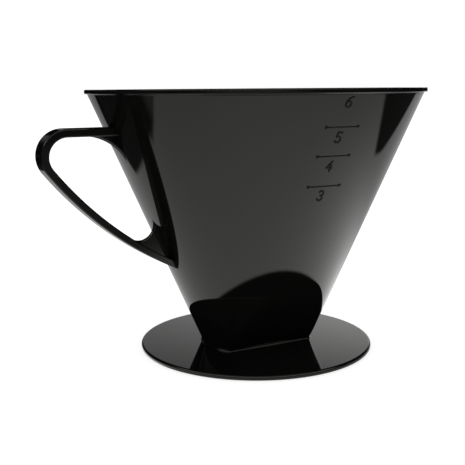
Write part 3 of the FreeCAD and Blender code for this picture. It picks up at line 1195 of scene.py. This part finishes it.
@dataclass(frozen=True)
class RoundShade:
    """Painted shadow of the holder: a round place on the table that gets no light."""

    across: float
    away: float
    radius: float
    soft: float

    def kept(self, place: Place) -> Shade:
        """Share of the light that it leaves at a place."""
        out = place.square_from(self.across, self.away) ** 0.5
        return out.between(self.radius - self.soft, self.radius + self.soft)


@dataclass(frozen=True)
class LightTable:
    """The table as reflections see it, with dark cards and a painted shade of the handle on it, and the
    painted shadow at the holder's foot.

    Places are given across the picture and away from the camera, from the foot's middle.
    """

    even_light: float = 0.5
    pools: tuple[Pool, ...] = (
        Pool(20 * MM, -50 * MM, 110 * MM, 0.45),
        Pool(85 * MM, 15 * MM, 55 * MM, 0.75))
    left_light: float = 0.65
    left_fade: Span = (-330 * MM, -200 * MM)
    cards: tuple[Card, ...] = (
        Card((Edge(219 * MM, 22 * MM, 40.6, 9 * MM), Edge(285 * MM, 207 * MM, 122.0, 6 * MM),
              Edge(205 * MM, 78 * MM, 109.0, 4 * MM))),
        Card((Edge(-190 * MM, -62 * MM, 2.0, 12 * MM), Edge(-178 * MM, 6 * MM, -93.4, 5 * MM),
              Edge(-213 * MM, 142 * MM, -119.4, 5 * MM), Edge(-336 * MM, 327 * MM, -140.0, 12 * MM))),
        Card((Edge(-173 * MM, -58 * MM, -72.5, 4 * MM), Edge(0.0, -95 * MM, 0.0, 5 * MM),
              Edge(0.0, -38 * MM, 180.0, 5 * MM)), 0.72),
        Card((Edge(0.0, 0.0, -136.5, 20 * MM), Edge(0.0, 260 * MM, 0.0, 20 * MM))),
        # Painted shade of the handle: a dark band on the table to the left of the holder.
        Card((Edge(-147 * MM, 27.5 * MM, 158.0, 2.5 * MM), Edge(-142 * MM, -5.5 * MM, -19.5, 2 * MM),
              Edge(-85 * MM, 0.0, -90.0, 4 * MM))))
    # Painted shadow of the holder on the table, round its foot and shifted to the front right.
    shade: RoundShade = RoundShade(9.1 * MM, -9.8 * MM, 51.9 * MM, 1.2 * MM)
    right_side: Span = (60 * MM, 160 * MM)
    front_edge: Span = (-270 * MM, -175 * MM)
    front_edge_right: float = 70 * MM
    front_light: float = 0.06
    front_light_right: float = 0.22
    front_fade: Span = (-1200 * MM, -700 * MM)
    second_bounce: Span = (1.2, 1.8)
    second_loss: float = 0.8
    touch_light: float = 0.5
    touch_reach: Span = (6 * MM, 12 * MM)

    def lit(self, place: Place) -> Shade:
        """Even light with pools in it, a little weaker at the left."""
        light = sum([pool.on(place) for pool in self.pools], start=self.even_light)
        return light * (self.left_light + (1.0 - self.left_light) * place.across.between(*self.left_fade))

    def kept(self, place: Place) -> Shade:
        """Share of the light that the dark cards, the painted handle shade and the painted round shadow
        leave.
        """
        return math.prod([dark.kept(place) for dark in (self.shade, *self.cards)])

    def front(self, place: Place) -> Shade:
        """Share of the light that is left towards the camera, where most of it ends at an edge.

        Args:
            place: where on the table.

        Returns:
            The share there.
        """
        right = place.across.between(*self.right_side)
        full = (place.away - self.front_edge_right * right).between(*self.front_edge)
        dim = self.front_light + self.front_light_right * right * place.away.between(*self.front_fade)
        return dim + (1.0 - dim) * full

    def light(self, graph: Graph, place: Place) -> Shade:
        """All of the table's light: a second bounce sees less of it, and what almost touches it sees more.

        Args:
            graph: the node tree.
            place: where on the table.

        Returns:
            The light there.
        """
        again = graph.node("ShaderNodeLightPath", {}, {}, "Glossy Depth").between(*self.second_bounce)
        length = graph.node("ShaderNodeLightPath", {}, {}, "Ray Length")
        light = self.lit(place) * self.kept(place) * self.front(place) * (1.0 - self.second_loss * again)
        return light + self.touch_light * (1.0 - length.between(*self.touch_reach))


@dataclass(frozen=True)
class Surround:
    """The room as reflections see it, by the parts of a direction.

    Four numbers say where a light rises and where it falls again, and two say where it does one of these.
    """

    behind: Span = (0.0, 0.4)
    wall_light: float = 0.55
    wall_across: RiseAndFall = (-0.3, -0.22, 0.25, 0.5)
    wall_up: RiseAndFall = (0.06, 0.2, 0.2, 0.44)
    right_light: float = 0.84
    right_across: Span = (-0.2, 0.25)
    right_loss: float = 0.25
    right_loss_up: Span = (0.26, 0.34)
    strip_light: float = 0.12
    strip_across: RiseAndFall = (-0.66, -0.54, -0.52, -0.44)
    strip_up: RiseAndFall = (0.1, 0.2, 0.3, 0.45)
    room_light: float = 0.02
    haze_light: float = 0.2
    haze_aside: Span = (0.15, 0.75)
    haze_up: Span = (0.1, 0.5)
    lamp_light: float = 1.7
    lamp_up: RiseAndFall = (0.4, 0.52, 0.68, 0.76)
    lamp_away: Span = (-0.1, 0.15)
    ceiling_light: float = 0.5
    ceiling_up: Span = (0.84, 0.94)

    def wall(self, way: Place) -> Shade:
        """The wall behind the holder, brighter to the right, with a faint strip further left.

        Args:
            way: the direction.

        Returns:
            The light from there.
        """
        across, _, up = way
        right = self.right_light * across.between(*self.right_across)
        right = right * (1.0 - self.right_loss * up.between(*self.right_loss_up))
        wall = (self.wall_light + right) * up.within(*self.wall_up) * across.within(*self.wall_across)
        return wall + self.strip_light * across.within(*self.strip_across) * up.within(*self.strip_up)

    def room(self, way: Place) -> Shade:
        """The dark room on the camera's side, a little lighter low in the middle.

        Args:
            way: the direction.

        Returns:
            The light from there.
        """
        aside = way.across.graph.math("ABSOLUTE", way.across, 0.0)
        haze = (1.0 - aside.between(*self.haze_aside)) * (1.0 - way.up.between(*self.haze_up))
        return self.room_light + self.haze_light * haze

    def light(self, way: Place) -> Shade:
        """Wall or room, with a soft lamp above the camera and a dim ceiling.

        Args:
            way: the direction.

        Returns:
            The light from there.
        """
        behind = way.away.between(*self.behind)
        lamp = self.lamp_light * way.up.within(*self.lamp_up) * (1.0 - way.away.between(*self.lamp_away))
        ceiling = self.ceiling_light * way.up.between(*self.ceiling_up)
        return behind * self.wall(way) + (1.0 - behind) * self.room(way) + lamp + ceiling


@dataclass
class Studio:
    """Pale light table, soft surround, and the camera at the photograph's angle, in degrees and pixels."""

    table: LightTable = LightTable()
    surround: Surround = Surround()
    turn: float = 30.0
    distance: float = 347.94 * MM
    camera_height: float = 109.85 * MM
    pitch: float = 9.974
    yaw: float = -1.603
    roll: float = -0.439
    focal_pixels: float = 824.0
    frame_pixels: float = 465.0
    sensor_width: float = 36.0
    clip: Span = (0.01, 50.0)
    floor_half: float = 8.0
    floor_drop: float = 0.1 * MM
    floor_grey: Colour = (0.5, 0.5, 0.5, 1.0)
    floor_glow: float = 0.68
    card_half: float = 3.0
    card_drop: float = 0.05 * MM

    def from_photo(self, x: float, y: float, z: float) -> Vector:
        """A place or direction that is given across, away and up, in the part's frame."""
        a = math.radians(self.turn)
        return Vector((x * math.cos(a) + y * math.sin(a), -x * math.sin(a) + y * math.cos(a), z))

    def camera(self) -> None:
        """Stands the camera where the outlines of rim, wall and disc fall as in the photograph."""
        pitch, yaw, roll = (math.radians(v) for v in (self.pitch, self.yaw, self.roll))
        level = math.cos(pitch)
        forward = Vector((math.sin(yaw) * level, math.cos(yaw) * level, -math.sin(pitch)))
        right = Vector((math.cos(yaw), -math.sin(yaw), 0.0))
        up = right.cross(forward)
        turned_right = right * math.cos(roll) + up * math.sin(roll)
        turned_up = up * math.cos(roll) - right * math.sin(roll)
        axes = [self.from_photo(*v) for v in (turned_right, turned_up, -forward)]
        place = self.from_photo(0.0, -self.distance, self.camera_height)
        data = bpy.data.cameras.new("camera")
        data.sensor_width = self.sensor_width
        data.lens = self.sensor_width * self.focal_pixels / self.frame_pixels
        data.clip_start, data.clip_end = self.clip
        made = bpy.data.objects.new("camera", data)
        made.matrix_world = Matrix.Translation(place) @ Matrix(axes).transposed().to_4x4()
        bpy.context.scene.collection.objects.link(made)
        bpy.context.scene.camera = made

    def seen(self, graph: Graph, coordinates: str) -> Place:
        """Splits coordinates by the photograph's directions.

        Args:
            graph: the node tree.
            coordinates: their name on the Texture Coordinate node.

        Returns:
            Their parts.
        """
        vector = graph.node("ShaderNodeTexCoord", {}, {}, coordinates)
        turned = graph.node("ShaderNodeVectorRotate", {"rotation_type": "Z_AXIS"}, {
            "Vector": vector, "Angle": math.radians(self.turn)})
        parts = graph.node("ShaderNodeSeparateXYZ", {}, {0: turned}).socket.node
        return Place(*(Shade(graph, part) for part in parts.outputs))

    def sheet(self, name: str, half: float, z: float) -> tuple[bpy.types.Object, Graph]:
        """A level square sheet and its empty node tree.

        Args:
            name: the sheet's name.
            half: half of its side.
            z: its height.

        Returns:
            The object and the graph of its material.
        """
        mesh = bpy.data.meshes.new(name)
        corners = [(-half, -half, z), (half, -half, z), (half, half, z), (-half, half, z)]
        mesh.from_pydata(corners, [], [(0, 1, 2, 3)])
        material = bpy.data.materials.new(name)
        material.use_nodes = True
        mesh.materials.append(material)
        made = bpy.data.objects.new(name, mesh)
        bpy.context.scene.collection.objects.link(made)
        made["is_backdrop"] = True
        return made, Graph(material.node_tree)

    @staticmethod
    def one_sided(graph: Graph, shader: Shade) -> Shade:
        """Makes a shader clear from below.

        Args:
            graph: the node tree.
            shader: what shows from above.

        Returns:
            The mix of it with a clear shader.
        """
        clear = graph.node("ShaderNodeBsdfTransparent", {}, {})
        below = graph.node("ShaderNodeNewGeometry", {}, {}, "Backfacing")
        return graph.node("ShaderNodeMixShader", {}, {0: below, 1: shader, 2: clear})

    def floor(self) -> None:
        """The pale light table, which glows a little, so that shadows on it stay faint."""
        made, graph = self.sheet("floor", self.floor_half, -self.floor_drop)
        made.visible_glossy = False
        matt = graph.node("ShaderNodeBsdfDiffuse", {}, {"Color": self.floor_grey})
        glow = graph.node("ShaderNodeEmission", {}, {"Color": WHITE, "Strength": self.floor_glow})
        both = graph.node("ShaderNodeAddShader", {}, {0: matt, 1: glow})
        graph.finish(self.one_sided(graph, both))

    def card(self) -> None:
        """The table as reflections see it, on a sheet that nothing else sees."""
        made, graph = self.sheet("reflection_card", self.card_half, -self.card_drop)
        made.visible_camera = False
        made.visible_diffuse = False
        made.visible_shadow = False
        made.visible_transmission = False
        light = self.table.light(graph, self.seen(graph, "Object"))
        glow = graph.node("ShaderNodeEmission", {}, {"Color": light, "Strength": 1.0})
        graph.finish(self.one_sided(graph, glow))

    def world(self) -> None:
        """An even white surround, which reflections see as the room."""
        made = bpy.data.worlds.new("studio")
        bpy.context.scene.world = made
        made.use_nodes = True
        graph = Graph(made.node_tree)
        light = self.surround.light(self.seen(graph, "Generated"))
        mirror = graph.node("ShaderNodeLightPath", {}, {}, "Is Glossy Ray")
        strength = mirror * light + (1.0 - mirror)
        glow = graph.node("ShaderNodeBackground", {}, {"Color": WHITE, "Strength": strength})
        graph.finish(glow, "ShaderNodeOutputWorld")

    def build(self) -> None:
        """Sets up the floor, the light and the camera."""
        bpy.context.scene.view_settings.view_transform = "Standard"
        self.floor()
        self.card()
        self.world()
        self.camera()


def main() -> None:
    """Builds the pieces in order and reports each one, then sets up the studio."""
    logging.basicConfig(level=logging.INFO, format="%(name)s %(message)s")
    cad_box = tuple(corner.copy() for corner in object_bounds())
    _, funnel_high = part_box("filter_cone")
    _, disc_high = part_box("base_disc")
    handle_low, handle_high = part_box("handle")
    funnel = Funnel(height=funnel_high.z, rim_radius=funnel_high.x)
    disc = FootDisc(funnel, radius=disc_high.x, thickness=disc_high.z)
    handle = Handle(funnel, reach=-handle_low.x, top=handle_high.z, width=handle_high.y - handle_low.y)
    marks = CupMarks(funnel)
    for sub_assembly in (funnel, disc, handle, marks):
        for made in sub_assembly.build():
            log.info("%s: %d faces", made.name, len(made.data.polygons))
    Studio().build()


if __name__ == "__main__":
    main()
